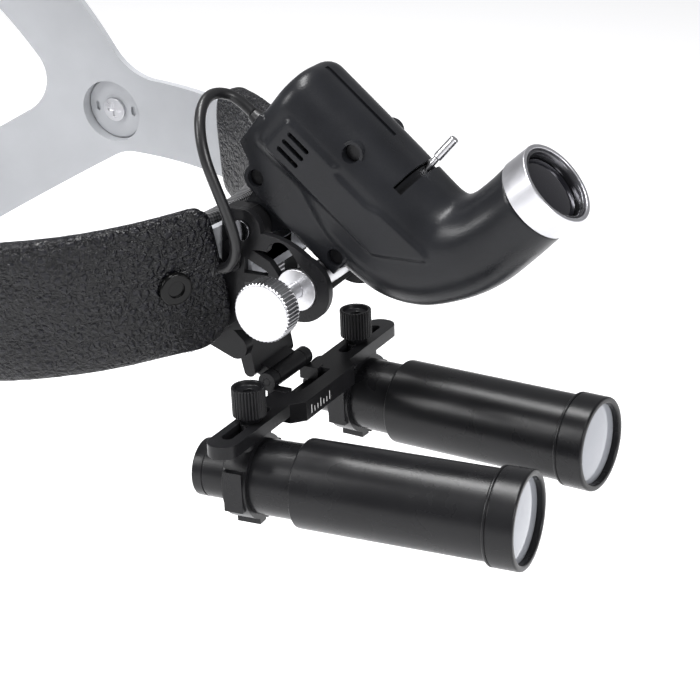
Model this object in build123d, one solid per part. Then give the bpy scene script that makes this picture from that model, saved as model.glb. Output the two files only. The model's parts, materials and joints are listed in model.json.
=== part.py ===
"""Headband loupes with a headlight.

Frame: origin at the middle of the head opening, +X to the wearer's left, -Y forward, +Z up, millimetres.
The loupe bar, the bracket and the lamp are each laid out in their own local frame, placed below.
"""
from build123d import *
from math import atan2, cos, degrees, hypot, pi, radians, sin, sqrt, tan
import os

# ---- driving dimensions ------------------------------------------------------------------------
BAND_A, BAND_B = 80.0, 100.0        # half width and half depth of the leather's outer face
LEATHER_T = 3.0                     # leather and its padding, outside the plastic
STRAP_T, STRAP_W = 2.2, 29.0        # plastic strap, thickness and width
FRONT_CUT_X, FRONT_CUT_Z = 31.0, -8.5   # the strap is cut away above the pivot's knobs
LINING_T = 2.8                      # leather and padding, inside the plastic
COVER_H, COVER_END_H = 45.0, 32.0   # leather cover, full height and at its rear end
COVER_FRONT_X = 21.0                # the two covers stop this far each side of the middle
COVER_END_Y, TAPER_Y = -41.0, -53.0     # the left cover's rear end
COVER_SLIP = 14.0                   # the right cover reaches this much further back
BAND_ROLL = 6.4                     # the soft band lies twisted about the brow, left side high
BAND_Z = 0.6                        # middle height of the band
TEMPLE = (9.5, -1.0)                # (y, z) where front, crown and nape straps meet
NAPE_DROP, CROWN_LEAN = 30.0, 25.0  # strap directions: below level, and back from upright
CROWN_C = 118.0                     # half height of the ellipsoid that all the straps lie on
BOSS_R, BOSS_OUT, BOSS_FLOOR = 13.5, 2.0, 1.2   # dished boss at each temple
RIVET_R = 2.0

BAR_Y, BAR_Z = -112.0, -42.0        # middle of the loupe bar's top face
BAR_TILT = 2.4                      # the barrels point up by this much
HALF_IPD, TOE_IN = 33.95, 4.02      # half the distance between the barrels' studs, and convergence
BAR_HALF, BAR_T = 54.5, 4.0
SLOT_W = 3.6
STUD_R = 1.6                        # threaded stud on each clamp ring
TUBE_DROP = 17.95                   # from the bar's top to a barrel's axis
CAP_R, MAIN_R, REAR_R, EYE_R = 15.0, 13.77, 11.65, 8.95
EYE_END, REAR_START, MAIN_START, CAP_START, CAP_END = -16.7, -5.0, 18.1, 79.3, 88.7
WALL = 1.5

PIVOT = (BAR_Y + 28.0, BAR_Z + 21.0)     # (y, z) of the axis that the loupe arm swings about
CLAMP = (BAR_Y - 8.5, BAR_Z + 38.8)      # (y, z) of the clamp shaft that locks the swing
LAMP_PIN = (BAR_Y + 10.5, BAR_Z + 54.3)  # (y, z) of the lamp's hinge pin
ARC_TOP = (BAR_Y + 3.6, BAR_Z + 28.0)    # (y, z) that the cheek's upper edge is struck from
ARC_R = 26.0
FLIP = 16.0                              # degrees of swing that the cheek's slot allows
CHEEK_IN, CHEEK_OUT = 16.5, 19.0         # a cheek plate's inner and outer face
KNOB_R, PIVOT_KNOB_R, KNOB_W = 9.2, 7.4, 7.0
SHAFT_R, SLEEVE_R = 2.4, 4.1
RUN = 0.05                               # running clearance of a shaft in its hole
CLAMP_FACE_X, PIVOT_FACE_X = 40.5, 27.8  # outer faces of the silver knobs

LAMP_DECLINE = 38.0                 # the lamp body points down by this much
LAMP_HALF_W, LAMP_TOP, LAMP_BOTTOM = 15.0, 49.2, 14.0
LAMP_REAR, LAMP_FRONT = -18.5, 37.0  # along the lamp, from its hinge pin
SHOULDER_R = 12.4
BEAM_Z = 34.9                       # optical axis inside the body, above the hinge pin
TUBE_R, ELBOW_BEND = 14.0, 15.0
OUTLET_S, OUTLET_Z, OUTLET_LEAN = 58.0, 75.8, 8.5
RING_R, RING_L = 13.0, 9.0
LAMP_WALL, RECESS = 1.8, 3.4         # the shell's wall, and how deep its screws are sunk
IRIS_S = 27.0                       # where the spot-size lever's slot crosses the lamp
LEVER_REST, LEVER_SPAN = 14.0, 50.0  # the lever's lean at rest, and half the slot's arc, in degrees
CABLE_R = 1.7
GLAND_X, GLAND_Z = -4.0, 22.0       # where the cable leaves the lamp's rear
GROMMET_R, GROMMET_OUT, GROMMET_L = 3.4, 2.6, 6.0   # collar where the cable goes into the band

BAR_FRAME = Location((0, BAR_Y, BAR_Z), (-BAR_TILT, 0, 0))
BAR_PIN_LOCAL = (7.0, 2.4)          # (y, z) of the hinge between arm and bar, in the bar's frame
BAR_PIN_R, LAMP_PIN_R = 1.15, 2.0
BAR_PIN = tuple((BAR_FRAME * Pos(0, *BAR_PIN_LOCAL)).position)[1:]
LAMP_FRAME = Location((0, LAMP_PIN[0], LAMP_PIN[1]), (LAMP_DECLINE, 0, 0))
OUTLET_LOCAL = Location((0, -OUTLET_S, OUTLET_Z), (OUTLET_LEAN, 0, 0))
BAND_FRAME = Location((0, 0, BAND_Z), (0, -BAND_ROLL, 0))
UP = (Align.CENTER, Align.CENTER, Align.MIN)
SIDES = {"left": 1, "right": -1}

# The cable leaves the lamp's rear and dips behind the right cheek, chosen by hand, (x, y, z).
CABLE_ROUTE = [
    (-4.0, -97.32, 43.49),
    (-4.0, -91.8, 47.8),
    (-8.4, -88.2, 50.0),
    (-14.6, -87.8, 50.2),
    (-20.9, -89.2, 47.4),
    (-25.0, -91.6, 41.8),
    (-26.6, -94.2, 35.0),
    (-26.0, -96.8, 27.8),
    (-25.0, -99.3, 20.6),
    (-24.2, -101.4, 14.0),
    (-23.7, -102.4, 8.2),
    (-23.4, -101.0, 3.2),
    (-23.2, -97.6, 0.0),
    (-23.2, -93.2, 0.0),
]
STRAP_A, STRAP_B = BAND_A - LEATHER_T, BAND_B - LEATHER_T
BOSS_FACE = STRAP_A + BOSS_OUT


# ---- helpers -----------------------------------------------------------------------------------
def slab(sketch, x0, x1):
    """A plate across X: a sketch drawn in (y, z), from x0 to x1."""
    return Pos(x0, 0, 0) * extrude(Plane.YZ * sketch, x1 - x0)


def rod(point, r, x0, x1):
    """A round bar along X through point (y, z)."""
    return Pos(x0, point[0], point[1]) * Rot(0, 90, 0) * Cylinder(r, x1 - x0, align=UP)


def forward(r, s0, s1, x=0.0, z=0.0):
    """A round bar along -Y, from s0 to s1 in front of its local frame's origin."""
    return Pos(x, -s0, z) * Rot(90, 0, 0) * Cylinder(r, s1 - s0, align=UP)


def link(a, ra, b, rb):
    """The flat outline that wraps two circles."""
    return make_hull((Pos(*a) * Circle(ra) + Pos(*b) * Circle(rb)).edges())


def knurled(r, width, count, groove):
    """A knurled drum on +Z, with a softened rim."""
    drum = chamfer(Cylinder(r, width, align=UP).edges().filter_by(GeomType.CIRCLE), 0.6)
    flute = Cylinder(groove, width, align=UP)
    return drum - [place * flute for place in PolarLocations(r + groove * 0.35, count)]


def mirrored(x0, x1):
    """The same span on the left and on the right of the middle plane."""
    return [(x0, x1), (-x1, -x0)]


# ---- loupe barrels -----------------------------------------------------------------------------
def barrel_frame(side):
    """A barrel's local frame: its stud's axis at the bar's top face, -Y along the barrel."""
    return BAR_FRAME * Location((side * HALF_IPD, 0, 0), (0, 0, -side * TOE_IN))


def clamp_ring():
    """Ring that grips the rear barrel, with the stud that goes up through the bar's slot."""
    half, r_out, top = 3.9, 13.2, -BAR_T - 0.1
    ring = forward(r_out, -half, half, z=-TUBE_DROP)
    cheeks = Pos(0, 0, -TUBE_DROP) * Box(2 * r_out + 1.2, 2 * half - 1.6, 13)
    head = Pos(0, 0, top) * Box(15, 2 * half, 6, align=(Align.CENTER, Align.CENTER, Align.MAX))
    foot = Pos(0, 0, -TUBE_DROP - r_out - 1.2) * Box(9, 2 * half, 4, align=UP)
    root, tip = top - 2, 8.8
    stud = Pos(0, 0, root) * Cylinder(STUD_R, tip - root, align=UP)
    body = ring + cheeks + fillet(head.edges().filter_by(Axis.Z), 2.2) + foot
    split = Pos(0, 0, -TUBE_DROP - r_out - 2) * Box(1.2, 2 * half + 1, 6, align=UP)
    return body - forward(REAR_R + 0.02, -half - 1, half + 1, z=-TUBE_DROP) - split + stud


def slide_bush():
    """Oblong guide that fills the bar's slot, so the stud slides and turns in it."""
    block = Pos(0, 0, -BAR_T) * Box(8, SLOT_W - 2 * RUN, BAR_T, align=UP)
    bore = Pos(0, 0, -BAR_T) * Cylinder(STUD_R + RUN, BAR_T, align=UP)
    return fillet(block.edges().filter_by(Axis.Z), 1.6) - bore


def thumb_knob():
    """Black knurled nut on the stud: collar, drum and a dished top around the stud's end."""
    collar = Pos(0, 0, 0.1) * Cone(3.4, 4.4, 1.9, align=UP)
    drum = Pos(0, 0, 2.0) * knurled(5.2, 9.2, 32, 0.4)
    dish = Pos(0, 0, 9.7) * Cylinder(4.0, 3, align=UP)
    return collar + drum - dish - Cylinder(STUD_R + RUN, 12, align=UP)


def eyepiece():
    """Rear tube with its eye cup's rolled edge."""
    tube = forward(EYE_R, EYE_END, REAR_START, z=-TUBE_DROP)
    tube = fillet(tube.edges().filter_by(GeomType.CIRCLE).sort_by(Axis.Y)[-1], 0.8)
    return tube - forward(EYE_R - WALL, EYE_END - 1, REAR_START + 1, z=-TUBE_DROP)


def lens(r, s0, s1, bulge):
    """A biconvex lens: a disc whose two faces are struck from large spheres."""
    ball_r = (r * r + bulge * bulge) / (2 * bulge)
    disc = forward(r, s0, s1, z=-TUBE_DROP)
    front = Pos(0, -(s1 - ball_r), -TUBE_DROP) * Sphere(ball_r)
    back = Pos(0, -(s0 + ball_r), -TUBE_DROP) * Sphere(ball_r)
    return disc & front & back


def rear_barrel():
    """Slim barrel inside the clamp ring, closed on the eyepiece by a shoulder."""
    shoulder = 3.0
    body = forward(REAR_R, REAR_START, MAIN_START + 4, z=-TUBE_DROP)
    bore = forward(REAR_R - WALL, REAR_START + shoulder, MAIN_START + 5, z=-TUBE_DROP)
    return body - bore - forward(EYE_R - WALL, REAR_START - 1, REAR_START + shoulder + 1, z=-TUBE_DROP)


def prism():
    """Erecting prism: two glass wedges with an air gap, in the rear barrel's bore."""
    side, gap = 12.6, 0.4
    block = Pos(0, -9.0, -TUBE_DROP) * Box(side, side, side)
    cut = Pos(0, -9.0, -TUBE_DROP) * Rot(48, 0, 0) * Box(side + 2, gap, 3 * side)
    return block - cut


def main_barrel():
    """Wide front barrel: a shoulder on the rear barrel, a spigot under the cap."""
    body = forward(MAIN_R, MAIN_START, CAP_START, z=-TUBE_DROP)
    body = chamfer(body.edges().filter_by(GeomType.CIRCLE).sort_by(Axis.Y)[-1], 0.5)
    spigot = forward(MAIN_R - 0.6, CAP_START - 1, CAP_END - 6.2, z=-TUBE_DROP)
    bore = forward(MAIN_R - WALL - 0.6, MAIN_START + 3, CAP_END, z=-TUBE_DROP)
    return body + spigot - bore - forward(REAR_R, MAIN_START - 1, MAIN_START + 4, z=-TUBE_DROP)


def objective_cap():
    """Front cap with a groove line and a rounded rim around the objective."""
    cap = forward(CAP_R, CAP_START, CAP_END, z=-TUBE_DROP)
    ends = cap.edges().filter_by(GeomType.CIRCLE).sort_by(Axis.Y)
    cap = fillet(ends[0], 0.9)
    groove = forward(CAP_R + 1, CAP_START + 0.9, CAP_START + 1.3, z=-TUBE_DROP)
    groove -= forward(CAP_R - 0.35, CAP_START, CAP_START + 3, z=-TUBE_DROP)
    bore = forward(MAIN_R - 0.6, CAP_START - 1, CAP_END - 2.2, z=-TUBE_DROP)
    return cap - groove - bore - forward(12.85, CAP_START, CAP_END + 1, z=-TUBE_DROP)


def barrel_parts(side):
    name = "left" if side > 0 else "right"
    frame = barrel_frame(side)
    shapes = {
        "clamp_ring": clamp_ring(),
        "slide_bush": slide_bush(),
        "thumb_knob": thumb_knob(),
        "eyepiece": eyepiece(),
        "eye_lens": lens(EYE_R - WALL, EYE_END + 2.4, EYE_END + 6.6, 1.2),
        "rear_barrel": rear_barrel(),
        "prism": prism(),
        "main_barrel": main_barrel(),
        "objective_cap": objective_cap(),
        "objective_lens": lens(MAIN_R - 0.6, CAP_END - 6.2, CAP_END - 1.4, 0.9),
    }
    bush_frame = BAR_FRAME * Pos(side * HALF_IPD, 0, 0)
    placed = {f"{key}_{name}": frame * shape for key, shape in shapes.items()}
    placed[f"slide_bush_{name}"] = bush_frame * shapes["slide_bush"]
    return placed


# ---- loupe bar and arm -------------------------------------------------------------------------
def loupe_bar():
    """Slotted cross bar with a chamfered middle block and a pocket for the hinge."""
    depth, front = 9.8, 5.3
    bar = Pos(0, depth / 2 - front, -BAR_T) * Box(2 * BAR_HALF, depth, BAR_T, align=UP)
    bar = fillet(bar.edges().filter_by(Axis.Z), 4.6)
    corners = [(-19.4, 4.5), (-19.4, -5.3), (-15.4, -9.0), (15.4, -9.0), (19.4, -5.3), (19.4, 4.5)]
    block = Pos(0, 0, -6.4) * extrude(make_face(Polyline(corners, close=True)), 6.4)
    pocket = Pos(0, 2.6, -4.4) * Box(20, 12, 5, align=UP)
    slots = [Pos(s * 36, 0, -BAR_T - 1) * extrude(SlotOverall(25, SLOT_W), BAR_T + 2) for s in (1, -1)]
    ears = [rod(BAR_PIN_LOCAL, 3.0, x0, x1) for x0, x1 in mirrored(8.3, 12.0)]
    ears += [Pos((x0 + x1) / 2, 3.6, -2.0) * Box(x1 - x0, 6.8, 4.4) for x0, x1 in mirrored(8.3, 12.0)]
    return BAR_FRAME * (bar + block - pocket - slots + ears - rod(BAR_PIN_LOCAL, BAR_PIN_R + RUN, -13, 13))


def loupe_arm():
    """Yoke between the cheeks, with the tongue that carries the bar's hinge."""
    inner, outer = 12.5, 16.3
    shank = (BAR_Y + 15.5, BAR_Z + 14.0)
    knee = (BAR_Y + 2.0, BAR_Z + 27.0)
    side = link(PIVOT, 6.5, shank, 4.0) + link(PIVOT, 4.5, knee, 3.6) + link(knee, 3.6, CLAMP, 5.2)
    yoke = [slab(side, x0, x1) for x0, x1 in mirrored(inner, outer)]
    tongue = slab(link(shank, 2.2, (BAR_Y + 13.2, BAR_Z + 4.6), 2.0), -12, 12)
    tongue += slab(link(shank, 2.2, (BAR_Y + 19.4, BAR_Z + 17.5), 1.8), -outer + 0.1, outer - 0.1)
    barrel = rod(BAR_PIN, 3.0, -8, 8)
    neck = slab(link(BAR_PIN, 1.8, (BAR_Y + 13.2, BAR_Z + 4.6), 2.0), -8, 8)
    arm = yoke[0] + yoke[1] + tongue + neck + barrel
    arm -= rod(BAR_PIN, BAR_PIN_R + RUN, -13, 13)
    arm -= rod(PIVOT, SHAFT_R + RUN, -20, 20)
    return arm - rod(CLAMP, SLEEVE_R, -20, 20)


# ---- bracket -----------------------------------------------------------------------------------
def swing(point, angle):
    """A (y, z) point carried about the arm's pivot by an angle, front end up."""
    dy, dz = point[0] - PIVOT[0], point[1] - PIVOT[1]
    a = atan2(dz, dy) - radians(angle)
    reach = hypot(dy, dz)
    return (PIVOT[0] + reach * cos(a), PIVOT[1] + reach * sin(a))


def slot_outline(half_width):
    """Arc slot, concentric with the pivot, that the clamp shaft's sleeve travels in."""
    low, middle, high = CLAMP, swing(CLAMP, FLIP / 2), swing(CLAMP, FLIP)
    path = ThreePointArc(low, middle, high)
    return SlotArc(path, 2 * half_width)


def cheek_outline():
    """Side plate: rounded nose, arched top arm, two struts, and a lug down to the pivot."""
    cy, cz = ARC_TOP
    arch = Pos(cy, cz) * (Circle(ARC_R) - Circle(ARC_R - 5.4))
    keep = Pos(cy - 1.6, cz + 22) * Rectangle(29, 30)
    ear = link(LAMP_PIN, 6.4, (BAR_Y + 13.2, BAR_Z + 50), 4.0)
    plate = (arch & keep) + Pos(*CLAMP) * Circle(10.6) + ear
    plate += link((BAR_Y + 10.0, BAR_Z + 47.6), 1.7, (BAR_Y - 3.0, BAR_Z + 42.0), 1.7)
    plate += link((BAR_Y + 14.0, BAR_Z + 39.0), 1.5, (BAR_Y - 2.0, BAR_Z + 39.6), 1.5)
    plate += link((BAR_Y + 13.6, BAR_Z + 52.0), 2.8, (BAR_Y + 13.6, BAR_Z + 38.0), 2.6)
    plate += link((BAR_Y + 13.6, BAR_Z + 38.0), 2.6, (BAR_Y + 15.0, BAR_Z + 26.0), 2.6)
    plate += Pos(BAR_Y + 15.0, BAR_Z + 48.0) * Rectangle(10, 25)
    return plate + link((BAR_Y + 15.0, BAR_Z + 26.0), 2.6, PIVOT, 6.6)


def cheek(side):
    outline = cheek_outline() - slot_outline(SLEEVE_R + RUN) - Pos(*PIVOT) * Circle(SHAFT_R)
    outline -= Pos(*LAMP_PIN) * Circle(LAMP_PIN_R)
    x0, x1 = (CHEEK_IN, CHEEK_OUT) if side > 0 else (-CHEEK_OUT, -CHEEK_IN)
    return slab(outline, x0, x1) - base_screw_holes() - band_room()


def band_room():
    """Everything inside the strap's outer face."""
    return BAND_FRAME * extrude(Ellipse(STRAP_A + 0.1, STRAP_B + 0.1), 200, both=True)


def base_screw_holes():
    return [rod(p, 1.5, -CHEEK_OUT - 1, CHEEK_OUT + 1) for p in base_screw_places()]


def base_screw_places():
    return [(BAR_Y + 13.6, BAR_Z + 43.0), (BAR_Y + 13.9, BAR_Z + 48.4)]


def base_screws():
    """Button-head screws that hold the cheeks to the base plate."""
    heads, shanks = mirrored(CHEEK_OUT, CHEEK_OUT + 1.0), mirrored(CHEEK_OUT - 7.0, CHEEK_OUT)
    return [rod(p, 2.4, *head) + rod(p, 1.5, *shank)
            for p in base_screw_places() for head, shank in zip(heads, shanks)]


def base_plate():
    """Light plate, hollowed to sit on the band's front, which the two cheeks are screwed to."""
    front, back, low, high = BAR_Y + 8.6, BAR_Y + 18.0, BAR_Z + 37.4, BAR_Z + 60.5
    block = Box(2 * CHEEK_IN, back - front, high - low, align=(Align.CENTER, Align.MIN, Align.MIN))
    block = Pos(0, front, low) * block
    ear_room = rod(LAMP_PIN, 9.2, -12.2, 12.2)
    ears = [slab(link(LAMP_PIN, 6.4, (BAR_Y + 12.0, BAR_Z + 50), 3.0), x0, x1)
            for x0, x1 in mirrored(12.4, CHEEK_IN)]
    plate = block - ear_room + ears[0] + ears[1] - band_room()
    plate -= rod(LAMP_PIN, LAMP_PIN_R, -20, 20)
    window = Pos(0, front - 1, BAR_Z + 42.5) * Box(14, 4, 5, align=(Align.CENTER, Align.MIN, Align.CENTER))
    room = slab(link(CLAMP, 7.4, swing(CLAMP, FLIP), 7.4), -CHEEK_IN - 1, CHEEK_IN + 1)
    return plate - window - room - base_screw_holes()


def lamp_hinge_pin():
    """Pin through the ears and the lamp's lug, with a flat head at each end."""
    pin = rod(LAMP_PIN, LAMP_PIN_R, -CHEEK_OUT, CHEEK_OUT)
    for x0, x1 in mirrored(CHEEK_OUT, CHEEK_OUT + 1.4):
        pin += rod(LAMP_PIN, 3.2, x0, x1)
    return pin


def silver_knob(point, side, face_x, r):
    """Large knurled thumb screw head with a stepped hub, its face outwards, on a shaft at (y, z)."""
    hub = 1.4
    drum = knurled(r, KNOB_W, round(5 * r), 0.42)
    drum += Pos(0, 0, -hub) * Cylinder(r - 3.2, hub + 0.2, align=UP)
    bore = Pos(0, 0, -hub - 0.6) * Cylinder(SHAFT_R + RUN, KNOB_W, align=UP)
    return Pos(0, *point) * Rot(0, side * 90, 0) * Pos(0, 0, face_x - KNOB_W) * (drum - bore)


def washers():
    """Flange discs between the clamp shaft's knobs and the cheeks."""
    rings = []
    for x0, x1 in mirrored(CHEEK_OUT + 0.05, CHEEK_OUT + 1.3):
        rings.append(rod(CLAMP, 6.5, x0, x1) - rod(CLAMP, SHAFT_R, x0 - 1, x1 + 1))
    return rings


def sleeve():
    """Spacer on the clamp shaft that fills the slots; the yoke's bosses are pressed on it."""
    return rod(CLAMP, SLEEVE_R, -CHEEK_OUT, CHEEK_OUT) - rod(CLAMP, SHAFT_R, -20, 20)


# ---- lamp, in its own frame: -Y along the body, +Z away from the hinge --------------------------
def beam_path(trim=0.0):
    """Middle line of the beam: along the body, round the elbow and out to the ring."""
    ring_rear = OUTLET_LOCAL * Pos(0, 0, -RING_L + trim)
    corner_s = OUTLET_S - (OUTLET_Z - BEAM_Z) * tan(radians(OUTLET_LEAN))
    p = ring_rear.position
    return FilletPolyline((0, -30, BEAM_Z), (0, -corner_s, BEAM_Z), (0, p.Y, p.Z), radius=ELBOW_BEND)


def lamp_form(inset):
    """The lamp's outer form, every face moved in by inset."""
    width, height = 2 * (LAMP_HALF_W - inset), LAMP_TOP - LAMP_BOTTOM - 2 * inset
    middle = (LAMP_TOP + LAMP_BOTTOM) / 2
    section = RectangleRounded(width, height, SHOULDER_R - inset)
    rear, front = -LAMP_REAR - inset, -LAMP_FRONT
    body = Pos(0, rear, middle) * Rot(90, 0, 0) * extrude(section, rear - front)
    nose = Pos(0, -LAMP_FRONT, middle - 1.2) * Sphere(17.4 - inset)
    nose &= Pos(0, -LAMP_FRONT, 0) * Box(width, 80, 200)
    tube = sweep(Pos(0, -30, BEAM_Z) * Rot(90, 0, 0) * Circle(TUBE_R - inset), beam_path())
    keel_half = LAMP_HALF_W - 1.0 - inset
    keel = link((7.4, 13.0), 4.4 - inset, (-26.0, 13.2), 4.4 - inset)
    keel += make_face(Polyline((7.4, 13), (18.5 - inset, 18 + inset), (18.5 - inset, 30), (-29, 30),
                               (-29, 13), close=True))
    return body + nose + tube + slab(keel, -keel_half, keel_half)


def hinge_lug():
    """Lug under the lamp that the hinge pin passes through."""
    outline = link((0, 0), 5.6, (0, 14), 6.5) + link((0, 0), 5.6, (-8, 12), 5.0)
    return slab(outline, -11.9, 11.9)


def lever_slot():
    """Arc slot over the lamp's top, across its middle line."""
    outer, inner, width = LAMP_HALF_W + 10, LAMP_HALF_W - 6, 3.2
    ring = forward(outer, IRIS_S - width / 2, IRIS_S + width / 2, z=BEAM_Z - 1.5)
    ring -= forward(inner, IRIS_S - 5, IRIS_S + 5, z=BEAM_Z - 1.5)
    reach = 40.0
    side = reach * tan(radians(LEVER_SPAN))
    wedge = make_face(Polyline((0, 0), (side, reach), (-side, reach), close=True))
    wedge = Pos(0, -IRIS_S + 10, BEAM_Z - 1.5) * Rot(90, 0, 0) * extrude(wedge, 20)
    return ring & wedge


def vents():
    """Three cooling slots on each side of the body."""
    cuts = []
    for row in range(3):
        z = 33.4 - 3.0 * row
        cuts.append(slab(Pos(3.6, z) * SlotOverall(8.6, 1.5), -20, 20))
    return cuts


def screw_places():
    """(s, z) of the screws that join the lamp's two halves."""
    return [(-7.5, 13.0), (10.0, 42.4), (26.0, 13.4)]


def screw_depth(z):
    """How far out the body's side lies at height z."""
    if z > LAMP_TOP - SHOULDER_R:
        rise = z - (LAMP_TOP - SHOULDER_R)
        return LAMP_HALF_W - SHOULDER_R + sqrt(SHOULDER_R ** 2 - rise ** 2)
    return LAMP_HALF_W - 1.0


def lamp_housing(side):
    shell = lamp_form(0) - lamp_form(LAMP_WALL) + hinge_lug() - rod((0, 0), LAMP_PIN_R + RUN, -20, 20)
    mouth = OUTLET_LOCAL * Pos(0, 0, -RING_L - 4) * Cylinder(TUBE_R - LAMP_WALL, 10, align=UP)
    seam = Pos(0, 4.5, LAMP_TOP) * Box(0.9, 38, 1.6)
    gland = Pos(GLAND_X, -LAMP_REAR - 6, GLAND_Z) * Rot(-90, 0, 0) * Cylinder(3.2, 10, align=UP)
    shell = shell - mouth - seam - gland - lever_slot() - vents()
    post, recess, bore = Circle(3.6), Circle(2.6), Circle(1.4)
    for s, z in screw_places():
        depth = screw_depth(z)
        shell += [slab(Pos(-s, z) * post, x0, x1) for x0, x1 in mirrored(0.0, depth - 0.6)]
        shell -= [slab(Pos(-s, z) * recess, x0, x1) for x0, x1 in mirrored(depth - RECESS, 20)]
        shell -= slab(Pos(-s, z) * bore, -20, 20)
    half = Pos(side * 0.02, -20, 40) * Box(40, 200, 200, align=(Align.MIN if side > 0 else Align.MAX,
                                                                Align.CENTER, Align.CENTER))
    return LAMP_FRAME * (shell & half)


def lamp_screws():
    """Long screws through both halves, with sunk heads."""
    screws = []
    for s, z in screw_places():
        depth = screw_depth(z) - RECESS
        screws.append(rod((-s, z), 1.35, -depth, depth) + rod((-s, z), 2.5, -depth - 1.6, -depth))
    return [LAMP_FRAME * screw for screw in screws]


def heat_sink():
    """Finned block behind the emitter."""
    block = Pos(0, 15.5, 32.0) * Rot(90, 0, 0) * extrude(RectangleRounded(24, 24, 4), 11)
    fins = [Pos(0, 16.0, 32.0 + 4.0 * row) * Box(26, 12, 1.6) for row in (-2, -1, 0, 1, 2)]
    room = Pos(GLAND_X, 22, GLAND_Z) * Rot(90, 0, 0) * Cylinder(4, 8, align=UP)
    return block - fins - room


def emitter():
    """Emitter: a round board with a square package and a domed lens."""
    board = forward(10.5, -4.4, -2.8, z=BEAM_Z)
    package = Pos(0, 2.0, BEAM_Z) * Box(5, 1.6, 5)
    return board + package + Pos(0, 1.2, BEAM_Z) * Sphere(1.9)


def condenser():
    """Thick plano-convex lens that gathers the beam."""
    return forward(12.2, 14.2, 22.6, z=BEAM_Z) & Pos(0, -7.2, BEAM_Z) * Sphere(15.0)


def iris_ring():
    """Ring that turns about the beam; the lever is screwed into its rim."""
    ring = forward(12.4, IRIS_S - 1.3, IRIS_S + 1.3, z=BEAM_Z) - forward(5.5, IRIS_S - 2, IRIS_S + 2, z=BEAM_Z)
    return ring - lever_blank(1.0, 9.0, 12.5)


def lever_blank(r, start, end):
    """A round bar that points away from the beam at the lever's rest angle."""
    bar = Pos(0, 0, start) * Cylinder(r, end - start, align=UP)
    return Pos(0, -IRIS_S, BEAM_Z) * Rot(0, LEVER_REST, 0) * bar


def iris_lever():
    """Thin stem with a stepped, domed finger pin."""
    stem = lever_blank(1.0, 9.0, 17.5)
    pin = fillet(lever_blank(1.45, 17.0, 25.0).edges().filter_by(GeomType.CIRCLE), 0.5)
    return stem + pin


def fold_mirror():
    """Mirror across the elbow that turns the beam out through the ring."""
    corner_s = OUTLET_S - (OUTLET_Z - BEAM_Z) * tan(radians(OUTLET_LEAN))
    lean = (90.0 + OUTLET_LEAN) / 2
    return Pos(0, -corner_s + 3.0, BEAM_Z + 3.0) * Rot(lean, 0, 0) * Box(15, 17, 1.6)


def outlet_ring():
    """Bright turned ring round the lamp's mouth."""
    ring = Pos(0, 0, -RING_L) * Cylinder(RING_R, RING_L, align=UP)
    ring = fillet(ring.edges().filter_by(GeomType.CIRCLE).sort_by(Axis.Z)[-1], 0.5)
    return OUTLET_LOCAL * (ring - Pos(0, 0, -RING_L - 1) * Cylinder(RING_R - 1.2, RING_L + 2, align=UP))


def outlet_bezel():
    """Black sleeve inside the ring, with the seat that the lens rests on."""
    tube = Pos(0, 0, -RING_L - 3) * Cylinder(RING_R - 1.2, RING_L + 3, align=UP)
    tube -= Pos(0, 0, -3.6) * Cone(RING_R - 4.0, RING_R - 2.6, 3.7, align=UP)
    return OUTLET_LOCAL * (tube - Pos(0, 0, -RING_L - 4) * Cylinder(RING_R - 4.0, RING_L + 8, align=UP))


def outlet_lens():
    lens_r, edge = RING_R - 4.05, 5.0
    disc = Pos(0, 0, -9.0) * Cylinder(lens_r, edge, align=UP)
    return OUTLET_LOCAL * (disc & Pos(0, 0, -21.0) * Sphere(17.4))


def cable_gland():
    """Tapered relief that the cable leaves the lamp's rear through."""
    seat = Pos(GLAND_X, -LAMP_REAR, GLAND_Z) * Rot(-90, 0, 0)
    body = seat * Pos(0, 0, -3) * Cylinder(3.2, 3, align=UP) + seat * Cone(3.1, CABLE_R + 0.5, 4.0, align=UP)
    return LAMP_FRAME * (body - seat * Pos(0, 0, -4) * Cylinder(CABLE_R, 9, align=UP))


def cable_grommet():
    """Collar on the strap's front that the cable goes in through."""
    collar = fillet(grommet_seat(GROMMET_R).edges().filter_by(GeomType.CIRCLE).sort_by(Axis.Y)[0], 0.8)
    return collar - grommet_seat(CABLE_R + RUN) - band_room()


def grommet_seat(r, proud=0):
    """A round bar of radius r about the cable's last run, through to the strap's outer face."""
    x, y, z = CABLE_ROUTE[-1]
    return Pos(x, y - GROMMET_OUT - proud, z) * Rot(-90, 0, 0) * Cylinder(r, GROMMET_L + proud, align=UP)


def cable():
    """The lead from the lamp to the band: straight runs joined by tangent arcs."""
    points = [Vector(*p) for p in CABLE_ROUTE]
    radii = []
    for before, here, after in zip(points, points[1:], points[2:]):
        turn = radians((here - before).get_angle(after - here))
        run = min((here - before).length, (after - here).length)
        radii.append(0.45 * run / tan(turn / 2))
    path = FilletPolyline(*points, radius=radii)
    return sweep(Plane(points[0], z_dir=points[1] - points[0]) * Circle(CABLE_R), path)


# ---- headband, in its own rolled frame ----------------------------------------------------------
def hoop(a, b, thickness, width):
    """An upright elliptical band, centred on the band's middle height."""
    ring = Ellipse(a, b) - Ellipse(a - thickness, b - thickness)
    return extrude(ring, width / 2, both=True)


def head_form(inset):
    """The ellipsoid that the straps lie on, moved in by inset."""
    axes = (STRAP_A - inset, STRAP_B - inset, CROWN_C - inset)
    return scale(Sphere(1), by=axes)


def side_outline():
    """The straps seen from the side: front, nape and crown strips with filleted crotches."""
    reach = 160.0
    strips = Rectangle(reach, STRAP_W, align=(Align.MAX, Align.CENTER))
    for turn in (-NAPE_DROP, 90.0 - CROWN_LEAN):
        strips += Rot(0, 0, turn) * Rectangle(reach, STRAP_W, align=(Align.MIN, Align.CENTER))
    corners = [v for v in strips.vertices() if hypot(v.X, v.Y) < 45]
    return Pos(*TEMPLE) * fillet(corners, 17.0)


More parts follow.
